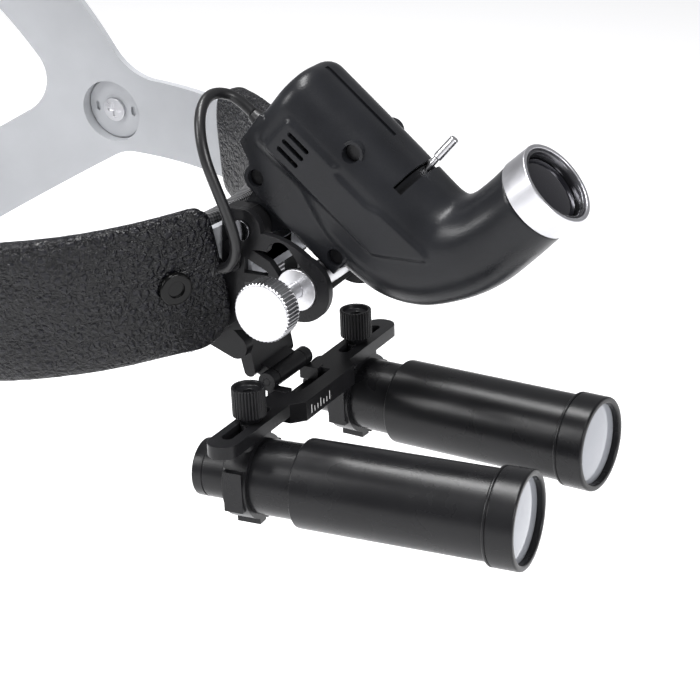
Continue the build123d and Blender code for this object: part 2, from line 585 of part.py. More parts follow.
def temple_boss():
    """Round thickening of the strap at each temple, dished on the inside."""
    return [rod(TEMPLE, BOSS_R, x0, x1) for x0, x1 in mirrored(STRAP_A - STRAP_T, BOSS_FACE)]


def band_strap():
    """Front, crown and nape straps moulded as one piece, with a dished boss at each temple."""
    band = (head_form(0) - head_form(STRAP_T)) & slab(side_outline(), -BAND_A, BAND_A)
    band += temple_boss()
    band -= [rod(TEMPLE, BOSS_R - 2.0, x0, x1) for x0, x1 in mirrored(STRAP_A - 9, BOSS_FACE - BOSS_FLOOR)]
    band -= [rod(TEMPLE, RIVET_R, x0, x1) for x0, x1 in mirrored(STRAP_A - 9, STRAP_A + 9)]
    below = (Align.CENTER, Align.CENTER, Align.MAX)
    cut = Pos(0, -BAND_B, FRONT_CUT_Z) * Box(2 * FRONT_CUT_X, 60, 60, align=below)
    hinge_room = rod(LAMP_PIN, 7.0, -CHEEK_IN - 0.5, CHEEK_IN + 0.5)
    return BAND_FRAME * band - cut - button_holes() - hinge_room


def temple_discs():
    """Discs in the bosses' dishes, each with a locating slot above and below the rivet."""
    disc = Cylinder(BOSS_R - 2.2, 1.0, align=UP) - Cylinder(RIVET_R, 1, align=UP)
    disc = chamfer(disc.edges().filter_by(GeomType.CIRCLE).group_by(SortBy.RADIUS)[-1].sort_by(Axis.Z)[0], 0.4)
    disc -= [Pos(0, y, 0) * extrude(SlotOverall(3.6, 1.8), 1.0) for y in (-7.6, 7.6)]
    near = BOSS_FACE - BOSS_FLOOR - 1.0
    return [BAND_FRAME * Pos(s * near, *TEMPLE) * Rot(0, s * 90, 0) * disc for s in SIDES.values()]


def temple_rivets():
    """Cross-slotted rivets that join the crown strap to the band strap."""
    grip = BOSS_FLOOR + 1.0
    rivet = Pos(0, 0, -1.3) * Cylinder(4.4, 1.3, align=UP) + Cylinder(RIVET_R, grip, align=UP)
    rivet += Pos(0, 0, grip) * Cylinder(4.6, 1.2, align=UP)
    rivet -= [Pos(0, 0, -1.3) * Box(*size, 1.4) for size in ((5.6, 1.1), (1.1, 5.6))]
    near = BOSS_FACE - BOSS_FLOOR - 1.0
    return [BAND_FRAME * Pos(s * near, *TEMPLE) * Rot(0, s * 90, 0) * rivet for s in SIDES.values()]


def cover(side):
    """Padded leather sleeve over the strap, narrowing towards its rear end."""
    total = LEATHER_T + STRAP_T + LINING_T
    sleeve = hoop(BAND_A, BAND_B, total, COVER_H)
    sleeve -= hoop(STRAP_A + 0.1, STRAP_B + 0.1, STRAP_T + 1.1, STRAP_W + 3.0)
    half, end = COVER_H / 2, COVER_END_H / 2
    slip = COVER_SLIP if side < 0 else 0.0
    taper_y, end_y = TAPER_Y + slip, COVER_END_Y + slip
    outline = [(-BAND_B - 5, -half), (taper_y, -half), (end_y, -end), (end_y, end),
               (taper_y, half), (-BAND_B - 5, half)]
    outwards = Align.MIN if side > 0 else Align.MAX
    side_view = slab(make_face(Polyline(outline, close=True)), min(0, 100 * side), max(0, 100 * side))
    front = Pos(side * COVER_FRONT_X, 0, 0) * Box(100, 300, 100, align=(outwards, Align.CENTER, Align.CENTER))
    knob_room = rod(PIVOT, PIVOT_KNOB_R + 0.6, -PIVOT_FACE_X - 0.8, PIVOT_FACE_X + 0.8)
    leather = BAND_FRAME * (sleeve & side_view) & front
    return leather - button_holes() - knob_room - grommet_seat(GROMMET_R + 0.1, 2)


def button_places():
    """Where a button goes through each cover: a frame with +Z outwards."""
    x = 37.0
    y = -BAND_B * sqrt(1 - (x / BAND_A) ** 2)
    lean = degrees(atan2(x / BAND_A ** 2, -y / BAND_B ** 2))
    return [BAND_FRAME * Location((s * x, y, 1.0), (90, 0, 0)) * Location((0, 0, 0), (0, s * lean, 0))
            for s in SIDES.values()]


def button_holes():
    return [place * Pos(0, 0, -12) * Cylinder(1.6, 20, align=UP) for place in button_places()]


def cover_buttons():
    """Press studs through the leather into the strap."""
    stud = Pos(0, 0, -7.5) * Cylinder(1.6, 7.7, align=UP)
    head = Pos(0, 0, 0.2) * Cylinder(5.2, 1.6, align=UP)
    head = fillet(head.edges().filter_by(GeomType.CIRCLE).sort_by(Axis.Z)[-1], 0.7)
    eye = Pos(0, 0, 1.0) * Cylinder(2.6, 2, align=UP)
    return [place * (stud + head - eye) for place in button_places()]


def brow_pad():
    """Soft pad inside the front of the band."""
    inner = LEATHER_T + STRAP_T + 1.3
    pad = hoop(BAND_A - inner, BAND_B - inner, 6.0, 24.0)
    keep = Pos(0, -BAND_B, 0) * Box(2 * (COVER_FRONT_X - 3.0), 60, 60)
    return BAND_FRAME * Pos(0, 0, 4.0) * (pad & keep)


def nape_frame():
    """Where the nape strap's middle line crosses the midplane, with +Z outwards."""
    slope = -tan(radians(NAPE_DROP))
    start = TEMPLE[1] - slope * TEMPLE[0]
    a = 1 / STRAP_B ** 2 + (slope / CROWN_C) ** 2
    b = slope * start / CROWN_C ** 2
    c = (start / CROWN_C) ** 2 - 1
    y = (-b + sqrt(b * b - a * c)) / a
    z = start + slope * y
    lean = degrees(atan2(z / CROWN_C ** 2, y / STRAP_B ** 2))
    return BAND_FRAME * Location((0, y, z), (lean - 90.0, 0, 0))


def nape_housing():
    """Case of the nape ratchet on the strap's middle, with a hollow for the pinion."""
    case = Pos(0, 0, -9) * extrude(RectangleRounded(54, 34, 9), 16.1)
    hollow = Pos(0, 0, 1.8) * extrude(RectangleRounded(46, 26, 6), 3.6)
    return nape_frame() * (case - hollow - Cylinder(3.1, 20, align=UP)) - BAND_FRAME * head_form(-0.05)


def nape_knob():
    """Knob with a lobed rim; its stem and pinion sit in the housing."""
    drum = Pos(0, 0, 7.6) * knurled(14.0, 9.0, 20, 1.4)
    stem = Pos(0, 0, 5.2) * Cylinder(3.0, 3, align=UP)
    pinion = Pos(0, 0, 2.1) * Cylinder(5.0, 3.1, align=UP)
    return nape_frame() * (drum + stem + pinion)


# ---- assembly ----------------------------------------------------------------------------------
def all_parts():
    parts = {
        "loupe_bar": loupe_bar(),
        "loupe_arm": loupe_arm(),
        "bar_hinge_pin": rod(BAR_PIN, BAR_PIN_R, -12, 12),
        "cheek_left": cheek(1),
        "cheek_right": cheek(-1),
        "base_plate": base_plate(),
        "base_screws": base_screws(),
        "lamp_hinge_pin": lamp_hinge_pin(),
        "clamp_shaft": rod(CLAMP, SHAFT_R, -38.0, 38.0),
        "clamp_sleeve": sleeve(),
        "clamp_washers": washers(),
        "pivot_shaft": rod(PIVOT, SHAFT_R, -25.4, 25.4),
        "lamp_housing_left": lamp_housing(1),
        "lamp_housing_right": lamp_housing(-1),
        "lamp_screws": lamp_screws(),
        "heat_sink": LAMP_FRAME * heat_sink(),
        "emitter": LAMP_FRAME * emitter(),
        "condenser_lens": LAMP_FRAME * condenser(),
        "iris_ring": LAMP_FRAME * iris_ring(),
        "iris_lever": LAMP_FRAME * iris_lever(),
        "fold_mirror": LAMP_FRAME * fold_mirror(),
        "outlet_ring": LAMP_FRAME * outlet_ring(),
        "outlet_bezel": LAMP_FRAME * outlet_bezel(),
        "outlet_lens": LAMP_FRAME * outlet_lens(),
        "cable_gland": cable_gland(),
        "cable": cable(),
        "cable_grommet": cable_grommet(),
        "band_strap": band_strap(),
        "temple_discs": temple_discs(),
        "temple_rivets": temple_rivets(),
        "cover_left": cover(1),
        "cover_right": cover(-1),
        "cover_buttons": cover_buttons(),
        "brow_pad": brow_pad(),
        "nape_housing": nape_housing(),
        "nape_knob": nape_knob(),
    }
    for name, side in SIDES.items():
        parts[f"clamp_knob_{name}"] = silver_knob(CLAMP, side, CLAMP_FACE_X, KNOB_R)
        parts[f"pivot_knob_{name}"] = silver_knob(PIVOT, side, PIVOT_FACE_X, PIVOT_KNOB_R)
        parts.update(barrel_parts(side))
    return parts


os.makedirs("parts", exist_ok=True)
PARTS = all_parts()
for node, shape in PARTS.items():
    pieces = shape if isinstance(shape, list) else [shape]
    export_step(Compound([solid for piece in pieces for solid in piece.solids()]), f"parts/{node}.step")
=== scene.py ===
import json
from math import acos, asin, cos, pi, radians, sin, sqrt

import bmesh
import bpy
from mathutils import Matrix, Vector, noise


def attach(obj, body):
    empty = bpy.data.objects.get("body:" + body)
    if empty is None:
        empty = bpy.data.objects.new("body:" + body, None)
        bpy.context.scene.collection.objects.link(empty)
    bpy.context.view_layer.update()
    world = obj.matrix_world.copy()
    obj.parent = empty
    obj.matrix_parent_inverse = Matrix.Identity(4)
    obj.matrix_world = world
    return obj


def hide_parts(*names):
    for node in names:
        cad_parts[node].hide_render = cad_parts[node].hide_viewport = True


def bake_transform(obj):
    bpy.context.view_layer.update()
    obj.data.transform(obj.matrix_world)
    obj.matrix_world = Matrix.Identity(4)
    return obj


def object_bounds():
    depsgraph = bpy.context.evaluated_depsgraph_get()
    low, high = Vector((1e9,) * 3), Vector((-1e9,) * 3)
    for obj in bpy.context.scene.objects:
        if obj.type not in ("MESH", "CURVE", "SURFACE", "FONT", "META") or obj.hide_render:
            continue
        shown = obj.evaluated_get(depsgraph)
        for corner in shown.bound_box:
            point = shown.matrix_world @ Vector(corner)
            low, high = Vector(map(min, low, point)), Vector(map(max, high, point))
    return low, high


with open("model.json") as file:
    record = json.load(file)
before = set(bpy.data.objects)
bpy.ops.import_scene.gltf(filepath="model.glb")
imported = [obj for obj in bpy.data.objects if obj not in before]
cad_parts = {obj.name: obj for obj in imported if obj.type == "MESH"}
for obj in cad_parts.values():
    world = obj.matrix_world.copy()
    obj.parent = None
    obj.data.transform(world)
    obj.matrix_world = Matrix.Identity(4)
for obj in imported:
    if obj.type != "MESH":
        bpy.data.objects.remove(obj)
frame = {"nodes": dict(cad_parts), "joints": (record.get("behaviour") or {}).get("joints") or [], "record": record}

CAD_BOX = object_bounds()
MM = 0.001
SIDES = {"left": 1, "right": -1}


# ---- driving dimensions, in millimetres, and the local frames -----------------------------------
def joint(name):
    return next(j for j in frame["joints"] if j["name"] == name)


def at(x, y, z):
    return Matrix.Translation((x * MM, y * MM, z * MM))


def turned(axis, degrees):
    return Matrix.Rotation(radians(degrees), 4, axis)


def pin_yz(name):
    """Where a joint's axis crosses the middle plane, as (y, z) in millimetres."""
    return tuple(c / MM for c in joint(name)["pos_m"][1:])


# Bar and barrels. Angles are in degrees, and distances along a barrel start at its stud's axis.
BAR_TILT, HALF_IPD, TOE_IN, TUBE_DROP = 2.4, 33.95, 4.02, 17.95
CAP_R, MAIN_R, REAR_R, EYE_R, WALL = 15.0, 13.77, 11.65, 8.95, 1.5
EYE_END, REAR_START, MAIN_START, CAP_START, CAP_END = -16.7, -5.0, 18.1, 79.3, 88.7
CAP_INNER_R, THUMB_R, STUD_HOLE_R = 12.9, 5.2, 1.65
# Silver knobs: radii, width, and how far out their faces are.
KNOB_R, PIVOT_KNOB_R, KNOB_W = 9.2, 7.4, 7.0
CLAMP_FACE_X, PIVOT_FACE_X = 40.5, 27.8
# Lamp: s is the distance forward of the hinge pin along the beam, and z the height above the pin.
LAMP_DECLINE, BEAM_Z = 38.0, 34.9
LAMP_HALF_W, LAMP_TOP, LAMP_BOTTOM, LAMP_REAR, SHOULDER_R = 15.0, 49.2, 14.0, -18.5, 12.4
LAMP_WALL, FLANK_PROUD, LUG_HALF_W, PIN_HOLE_R = 1.8, 0.8, 11.9, 2.05
OUTLET_S, OUTLET_Z, OUTLET_LEAN, RING_R, RING_L = 58.0, 75.8, 8.5, 13.0, 9.0
IRIS_S, LEVER_SPAN, LEVER_SLOT_W = 27.0, 50.0, 3.2
POST_R, RECESS_R, RECESS_DEEP = 3.6, 2.7, 3.4
# Headband and its padding. BAND_A and BAND_B are the outer half axes.
BAND_A, BAND_B, BAND_ROLL, BAND_Z = 80.0, 100.0, 6.4, 0.6
COVER_T, COVER_H, COVER_END_H, COVER_FRONT_X = 8.0, 45.0, 32.0, 19.8
COVER_END_Y, TAPER_Y, COVER_SLIP = -41.0, -53.0, 14.0
PAD_T, PAD_H, PAD_HALF_W, PAD_INSET, PAD_LIFT = 6.0, 24.0, 18.0, 9.5, 4.0
CABLE_R = 1.7

PIVOT, CLAMP, LAMP_PIN = pin_yz("loupe_flip"), pin_yz("clamp_knob_turn_left"), pin_yz("lamp_tilt")
BAR = at(0, -112.0, -42.0) @ turned("X", -BAR_TILT)
LAMP = at(0, *LAMP_PIN) @ turned("X", LAMP_DECLINE)
OUTLET = LAMP @ at(0, -OUTLET_S, OUTLET_Z) @ turned("X", OUTLET_LEAN)
BAND = at(0, 0, BAND_Z) @ turned("Y", -BAND_ROLL)
FORWARD = turned("X", 90)           # turns +Z to -Y, the way the barrels point

# The camera's axes and place in metres, and its lens for a 36 mm sensor.
VIEW_RIGHT, VIEW_UP = (0.4738, -0.8806, 0.0), (0.3562, 0.1917, 0.9145)
VIEW_SPOT, VIEW_LENS = (-0.4900, -0.3915, 0.2173), 101.55

# The lead's route from the lamp's gland to the band's grommet, in metres.
CABLE_ROUTE = [
    (-0.0040, -0.09732, 0.04349), (-0.0040, -0.0918, 0.0478), (-0.0084, -0.0882, 0.0500),
    (-0.0146, -0.0878, 0.0502), (-0.0209, -0.0892, 0.0474), (-0.0250, -0.0916, 0.0418),
    (-0.0266, -0.0942, 0.0350), (-0.0260, -0.0968, 0.0278), (-0.0250, -0.0993, 0.0206),
    (-0.0242, -0.1014, 0.0140), (-0.0237, -0.1024, 0.0082), (-0.0234, -0.1010, 0.0032),
    (-0.0232, -0.0976, 0.0000), (-0.0232, -0.0932, 0.0000),
]


def barrel(side):
    """A barrel's frame: its stud's axis at the bar's top face, -Y along the barrel."""
    return BAR @ at(side * HALF_IPD, 0, 0) @ turned("Z", -side * TOE_IN)


def tube_axis(side):
    """+Z along the barrel's middle line, from below the stud."""
    return barrel(side) @ at(0, 0, -TUBE_DROP) @ FORWARD


# ---- materials ----------------------------------------------------------------------------------
def nodes_of(name, color, roughness, **sockets):
    """A Principled material; returns (material, its node tree, its shader)."""
    made = bpy.data.materials.new(name)
    made.use_nodes = True
    tree = made.node_tree
    shader = tree.nodes["Principled BSDF"]
    shader.inputs["Base Color"].default_value = (*color, 1)
    shader.inputs["Roughness"].default_value = roughness
    for key, value in sockets.items():
        shader.inputs[key.replace("_", " ")].default_value = value
    return made, tree, shader


def texture(tree, kind, scale, stretch=(1, 1, 1), **values):
    """A procedural texture in an object's own metres, scale in cells per metre."""
    place = tree.nodes.new("ShaderNodeTexCoord")
    mapping = tree.nodes.new("ShaderNodeMapping")
    mapping.inputs["Scale"].default_value = stretch
    tree.links.new(place.outputs["Object"], mapping.inputs["Vector"])
    made = tree.nodes.new("ShaderNodeTex" + kind)
    made.inputs["Scale"].default_value = scale
    for key, value in values.items():
        if key in ("feature", "bands_direction"):
            setattr(made, key, value)
        else:
            made.inputs[key.replace("_", " ")].default_value = value
    tree.links.new(mapping.outputs["Vector"], made.inputs["Vector"])
    return made


def spread(tree, source, low, high, target, start=0.3, end=0.7):
    """Maps a texture's value to low..high and feeds it to a socket."""
    ramp = tree.nodes.new("ShaderNodeMapRange")
    for key, value in (("From Min", start), ("From Max", end), ("To Min", low), ("To Max", high)):
        ramp.inputs[key].default_value = value
    tree.links.new(source, ramp.inputs["Value"])
    tree.links.new(ramp.outputs["Result"], target)


def tint(tree, source, dark, light, target, start=0.35, end=0.65):
    """Mixes two colours by a texture's value and feeds the result to a socket."""
    ramp = tree.nodes.new("ShaderNodeValToRGB")
    ramp.color_ramp.elements[0].position = start
    ramp.color_ramp.elements[0].color = (*dark, 1)
    ramp.color_ramp.elements[1].position = end
    ramp.color_ramp.elements[1].color = (*light, 1)
    tree.links.new(source, ramp.inputs["Fac"])
    tree.links.new(ramp.outputs["Color"], target)


def bump(tree, shader, source, depth, strength=1.0, under=None):
    """Adds a bump of that depth in metres; under is a bump it lies on."""
    made = tree.nodes.new("ShaderNodeBump")
    made.inputs["Distance"].default_value = depth
    made.inputs["Strength"].default_value = strength
    tree.links.new(source, made.inputs["Height"])
    if under is not None:
        tree.links.new(under.outputs["Normal"], made.inputs["Normal"])
    tree.links.new(made.outputs["Normal"], shader.inputs["Normal"])
    return made


def satin(name, color, roughness, grain, depth, vary=0.12, **sockets):
    """Anodised metal or moulded plastic: fine grain, and a roughness that wanders a little."""
    made, tree, shader = nodes_of(name, color, roughness, **sockets)
    fine = texture(tree, "Noise", grain, Detail=3.0)
    wide = texture(tree, "Noise", 60.0, Detail=4.0)
    spread(tree, wide.outputs["Fac"], roughness * 0.88, roughness * 1.14, shader.inputs["Roughness"])
    dark, light = [c * (1 - vary) for c in color], [min(1, c * (1 + vary)) for c in color]
    tint(tree, wide.outputs["Fac"], dark, light, shader.inputs["Base Color"])
    bump(tree, shader, fine.outputs["Fac"], depth, 0.5)
    return made


def turned_metal(name, color, roughness):
    """Bright turned metal, its gloss and tone wandering a little."""
    made, tree, shader = nodes_of(name, color, roughness, Metallic=1.0)
    wide = texture(tree, "Noise", 180.0, Detail=2.0)
    spread(tree, wide.outputs["Fac"], roughness * 0.9, roughness * 1.12, shader.inputs["Roughness"])
    tint(tree, wide.outputs["Fac"], [c * 0.96 for c in color], color, shader.inputs["Base Color"])
    return made


def part_painted(name, light, dark, point, reach):
    """Light metal, painted dark within reach of the line along X through point (y, z), in metres."""
    made, tree, shader = nodes_of(name, light, 0.42, Metallic=0.5)
    place = tree.nodes.new("ShaderNodeTexCoord")
    flat = tree.nodes.new("ShaderNodeVectorMath")
    flat.operation = "MULTIPLY"
    flat.inputs[1].default_value = (0, 1, 1)
    tree.links.new(place.outputs["Object"], flat.inputs[0])
    gap = tree.nodes.new("ShaderNodeVectorMath")
    gap.operation = "DISTANCE"
    gap.inputs[1].default_value = (0, *point)
    tree.links.new(flat.outputs["Vector"], gap.inputs[0])
    inside = tree.nodes.new("ShaderNodeMath")
    inside.operation = "LESS_THAN"
    inside.inputs[1].default_value = reach
    tree.links.new(gap.outputs["Value"], inside.inputs[0])
    tint(tree, inside.outputs["Value"], light, dark, shader.inputs["Base Color"])
    return made


def leather():
    """Black grained leather: two sizes of pebble with wandering borders, soft wrinkles, worn gloss."""
    made, tree, shader = nodes_of("leather", (0.005, 0.005, 0.007), 0.28)
    shader.inputs["Specular IOR Level"].default_value = 0.30
    wrinkles = texture(tree, "Noise", 55.0, (1.0, 1.0, 3.0), Detail=5.0, Roughness=0.62)
    warp = texture(tree, "Noise", 260.0, Detail=3.0)
    grains = []
    for scale, reach in ((430.0, 0.004), (1150.0, 0.002)):     # cells per metre, wander in metres
        grain = texture(tree, "Voronoi", scale, feature="DISTANCE_TO_EDGE")
        shifted = tree.nodes.new("ShaderNodeVectorMath")
        shifted.operation = "MULTIPLY_ADD"
        shifted.inputs[1].default_value = (reach, reach, reach)
        tree.links.new(warp.outputs["Color"], shifted.inputs[0])
        tree.links.new(grain.inputs["Vector"].links[0].from_socket, shifted.inputs[2])
        tree.links.new(shifted.outputs["Vector"], grain.inputs["Vector"])
        dome = tree.nodes.new("ShaderNodeMapRange")
        dome.interpolation_type = "SMOOTHSTEP"
        dome.inputs["From Max"].default_value = 0.34
        tree.links.new(grain.outputs["Distance"], dome.inputs["Value"])
        grains.append(dome.outputs["Result"])
    spread(tree, wrinkles.outputs["Fac"], 0.20, 0.36, shader.inputs["Roughness"])
    tint(tree, grains[0], (0.003, 0.003, 0.004), (0.006, 0.006, 0.009), shader.inputs["Base Color"])
    first = bump(tree, shader, wrinkles.outputs["Fac"], 0.0016, 0.6)
    second = bump(tree, shader, grains[0], 0.00042, 0.9, first)
    bump(tree, shader, grains[1], 0.00012, 0.6, second)
    return made


def knit():
    """Black lining: rows of small loops."""
    made, tree, shader = nodes_of("knit", (0.02, 0.02, 0.023), 0.85)
    shader.inputs["Sheen Weight"].default_value = 0.35
    across = texture(tree, "Wave", 330.0, Distortion=0.6, bands_direction="X")
    along = texture(tree, "Wave", 330.0, Distortion=0.6, bands_direction="Z")
    dark, light = (0.012, 0.012, 0.014), (0.035, 0.035, 0.04)
    tint(tree, across.outputs["Fac"], dark, light, shader.inputs["Base Color"])
    first = bump(tree, shader, across.outputs["Fac"], 0.0004, 0.6)
    bump(tree, shader, along.outputs["Fac"], 0.0004, 0.6, first)
    return made


def coated_glass(name, color, coat):
    """Optical glass whose coating gives its reflections a tint."""
    made, tree, shader = nodes_of(name, color, 0.04)
    shader.inputs["IOR"].default_value = 1.45
    shader.inputs["Coat Weight"].default_value = 0.4
    shader.inputs["Coat Tint"].default_value = (*coat, 1)
    dust = texture(tree, "Noise", 300.0, Detail=5.0)
    spread(tree, dust.outputs["Fac"], 0.02, 0.07, shader.inputs["Roughness"])
    return made


METAL_BLACK, METAL_GREY = (0.009, 0.009, 0.010), (0.42, 0.43, 0.46)
DEEP_BLACK = (0.008, 0.008, 0.009)
FINISH = {
    "barrel_black": satin("barrel_black", DEEP_BLACK, 0.28, 2600.0, 0.00004, Specular_IOR_Level=0.24),
    "black_metal": satin("black_metal", METAL_BLACK, 0.30, 2200.0, 0.00005, Specular_IOR_Level=0.20),
    "silver_metal": turned_metal("silver_metal", (0.63, 0.63, 0.65), 0.30),
    "grey_metal": satin("grey_metal", METAL_GREY, 0.42, 2000.0, 0.00005, Metallic=0.7),
    "lens_glass": coated_glass("lens_glass", (0.32, 0.33, 0.35), (0.94, 0.95, 1.0)),
    "black_plastic": satin("black_plastic", (0.010, 0.0105, 0.0125), 0.30, 1900.0, 0.00006,
                           Specular_IOR_Level=0.24),
    "cable_black": satin("cable_black", DEEP_BLACK, 0.36, 1500.0, 0.00005),
    "grey_plastic": satin("grey_plastic", (0.41, 0.42, 0.44), 0.40, 900.0, 0.00002, vary=0.03),
    "button_black": satin("button_black", (0.003, 0.003, 0.003), 0.12, 900.0, 0.00001,
                          Specular_IOR_Level=0.20),
    "leather_black": leather(),
    "pad_fabric": knit(),
    "emitter_white": satin("emitter_white", (0.86, 0.84, 0.70), 0.30, 1500.0, 0.00002),
    "mirror": turned_metal("mirror", (0.93, 0.93, 0.94), 0.05),
}
BRUSHED = turned_metal("brushed_ring", (0.66, 0.66, 0.69), 0.36)
DARK_GLASS = coated_glass("dark_glass", (0.003, 0.003, 0.005), (0.94, 0.92, 1.0))
MIRROR_BLACK = turned_metal("dark_metal", (0.14, 0.14, 0.15), 0.24)
HINGE_PLATE = part_painted("hinge_plate", METAL_GREY, METAL_BLACK, [c * MM for c in LAMP_PIN], 0.0085)
TICK_WHITE = satin("tick_white", (0.80, 0.80, 0.80), 0.5, 1500.0, 0.00002)


# ---- mesh helpers -------------------------------------------------------------------------------
def add(name, data):
    """A new object in the scene."""
    made = bpy.data.objects.new(name, data)
    bpy.context.scene.collection.objects.link(made)
    return made


def form(name, points, faces, place=Matrix.Identity(4)):
    """A mesh object from points in millimetres in a local frame."""
    mesh = bpy.data.meshes.new(name)
    mesh.from_pydata([place @ (Vector(p) * MM) for p in points], [], faces)
    made = add(name, mesh)
    clean(made)
    return made


def piece(name, points, faces, place, body, slot, stands_for=(), finish=None):
    """A form that is a visible piece, on a body, with its finish."""
    return dress(form(name, points, faces, place), body, slot, stands_for, finish)


def clean(made):
    """Merges doubled points and turns the faces outwards."""
    work = bmesh.new()
    work.from_mesh(made.data)
    bmesh.ops.remove_doubles(work, verts=work.verts, dist=1e-7)
    bmesh.ops.recalc_face_normals(work, faces=work.faces)
    work.to_mesh(made.data)
    work.free()


def dress(made, body, slot, stands_for=(), finish=None):
    """Gives a piece its finish, its slot's unless another is given, puts it on its body and hides the CAD nodes
    that it replaces.
    """
    made.data.materials.clear()
    made.data.materials.append(finish or FINISH[slot])
    smooth(made)
    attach(made, body)
    if stands_for:
        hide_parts(*stands_for)
    return made


def smooth(made):
    """Smooth shading that keeps edges over 35 degrees sharp."""
    made.data.shade_smooth()
    made.data.set_sharp_from_angle(angle=radians(35))
    weighted = made.modifiers.new("weighted", "WEIGHTED_NORMAL")
    weighted.keep_sharp = True


def arc(middle, r, start, stop, step):
    """Points round middle from start to stop, in whole degrees."""
    return [(middle[0] + r * cos(radians(a)), middle[1] + r * sin(radians(a)))
            for a in range(start, stop + 1, step)]


def tube_faces(rings, around):
    """Quads between neighbouring rings of points, and a cap at each end."""
    faces = []
    for i in range(rings - 1):
        for k in range(around):
            a, b = i * around + k, i * around + (k + 1) % around
            faces.append((a, b, b + around, a + around))
    last = (rings - 1) * around
    return faces + [tuple(range(around)), tuple(range(last, last + around))]


def rounded(points, radius, closed=True, steps=3):
    """The same outline with every corner cut by a smooth curve."""
    made = []
    count = len(points)
    for i, point in enumerate(points):
        corner = Vector(point)
        if not closed and i in (0, count - 1):
            made.append(corner)
            continue
        back, ahead = Vector(points[i - 1]) - corner, Vector(points[(i + 1) % count]) - corner
        cut = min(radius, 0.45 * back.length, 0.45 * ahead.length)
        start, end = corner + back.normalized() * cut, corner + ahead.normalized() * cut
        for k in range(steps + 1):
            t = k / steps
            made.append(start * (1 - t) ** 2 + corner * (2 * t * (1 - t)) + end * t * t)
    return made


def lathe(name, outline, place, body, slot, stands_for=(), finish=None, around=96, soft=0.35,
          closed=True, ridges=None):
    """Turns an outline of (along, radius) points about local +Z.

    soft rounds the outline's corners, and ridges(radius, turn) says how far the skin is lowered.
    """
    ring = rounded(outline, soft, closed)
    count = len(ring)
    points, faces = [], []
    for k in range(around):
        turn = 2 * pi * k / around
        for along, r in ring:
            low = r - (ridges(r, turn) if ridges else 0.0)
            points.append((low * cos(turn), low * sin(turn), along))
    for k in range(around):
        here, there = k * count, (k + 1) % around * count
        for i in range(count if closed else count - 1):
            j = (i + 1) % count
            faces.append((here + i, here + j, there + j, there + i))
    return piece(name, points, faces, place, body, slot, stands_for, finish)


def knurl(count, depth, from_r, sharp=1.0):
    """Flutes round the outermost skin of a knob."""
    def lowered(r, turn):
        wave = 0.5 + 0.5 * cos(count * turn)
        return depth * wave ** sharp if r > from_r else 0.0
    return lowered


def plate(outline, x0, x1, edge=0.0):
    """Points and faces of a slab across X: an outline in (y, z), its outer rim drawn in by edge."""
    centre = sum((Vector(p) for p in outline), Vector((0, 0))) / len(outline)
    layers = [(x0, 0.0), (x1, 0.0)]
    if edge:
        way = 1 if x1 > x0 else -1
        layers = [(x0, 0.0), (x1 - way * edge, 0.0), (x1, edge)]
    points = []
    count = len(outline)
    for x, inset in layers:
        for i, p in enumerate(outline):
            before, after = Vector(outline[i - 1]), Vector(outline[(i + 1) % count])
            along = (after - before).normalized()
            inward = Vector((-along.y, along.x))
            if inward.dot(centre - Vector(p)) < 0:
                inward = -inward
            q = Vector(p) + inward * inset
            points.append((x, q.x, q.y))
    return points, tube_faces(len(layers), count)


def settle(made):
    """Applies an object's modifiers to its mesh."""
    bpy.context.view_layer.update()
    graph = bpy.context.evaluated_depsgraph_get()
    final = bpy.data.meshes.new_from_object(made.evaluated_get(graph))
    made.modifiers.clear()
    made.data = final


def combine(target, tools, operation):
    """Joins or cuts closed meshes, and removes the tools."""
    for tool in tools:
        step = target.modifiers.new("step", "BOOLEAN")
        step.object, step.operation, step.solver = tool, operation, "MANIFOLD"
        settle(target)
        bpy.data.objects.remove(tool)


def rod_x(point, r, x0, x1, around=40):
    """Points and faces of a round bar along X through (y, z)."""
    turns = [2 * pi * k / around for k in range(around)]
    return plate([(point[0] + r * cos(t), point[1] + r * sin(t)) for t in turns], x0, x1)


# ---- camera, floor and light --------------------------------------------------------------------
def camera():
    """The view from the wearer's front right, a little above."""
    data = bpy.data.cameras.new("view")
    made = add("view", data)
    right, up = Vector(VIEW_RIGHT), Vector(VIEW_UP)
    basis = Matrix((right, up, right.cross(up))).transposed().to_4x4()
    basis.translation = Vector(VIEW_SPOT)
    made.matrix_world = basis
    data.lens, data.sensor_width = VIEW_LENS, 36.0
    data.clip_start, data.clip_end = 0.01, 20
    bpy.context.scene.camera = made


def soft_light(name, spot, size, power, target):
    """A rectangular light at spot that faces target."""
    data = bpy.data.lights.new(name, "AREA")
    data.shape, data.size, data.size_y, data.energy = "RECTANGLE", size[0], size[1], power
    made = add(name, data)
    made.location = spot
    made.rotation_euler = (Vector(target) - Vector(spot)).to_track_quat("-Z", "Y").to_euler()


def white_floor():
    """A wide floor under the object that glows a little, so that it is seen as plain white."""
    reach, level = 6.0, CAD_BOX[0].z - 0.10
    corners = [(-reach, -reach), (reach, -reach), (reach, reach), (-reach, reach)]
    mesh = bpy.data.meshes.new("floor")
    mesh.from_pydata([(x, y, level) for x, y in corners], [], [(0, 1, 2, 3)])
    floor = add("floor", mesh)
    made, _, shader = nodes_of("floor_paint", (0.93, 0.93, 0.94), 0.9)
    shader.inputs["Emission Color"].default_value = (1, 1, 1, 1)
    shader.inputs["Emission Strength"].default_value = 0.30
    mesh.materials.append(made)


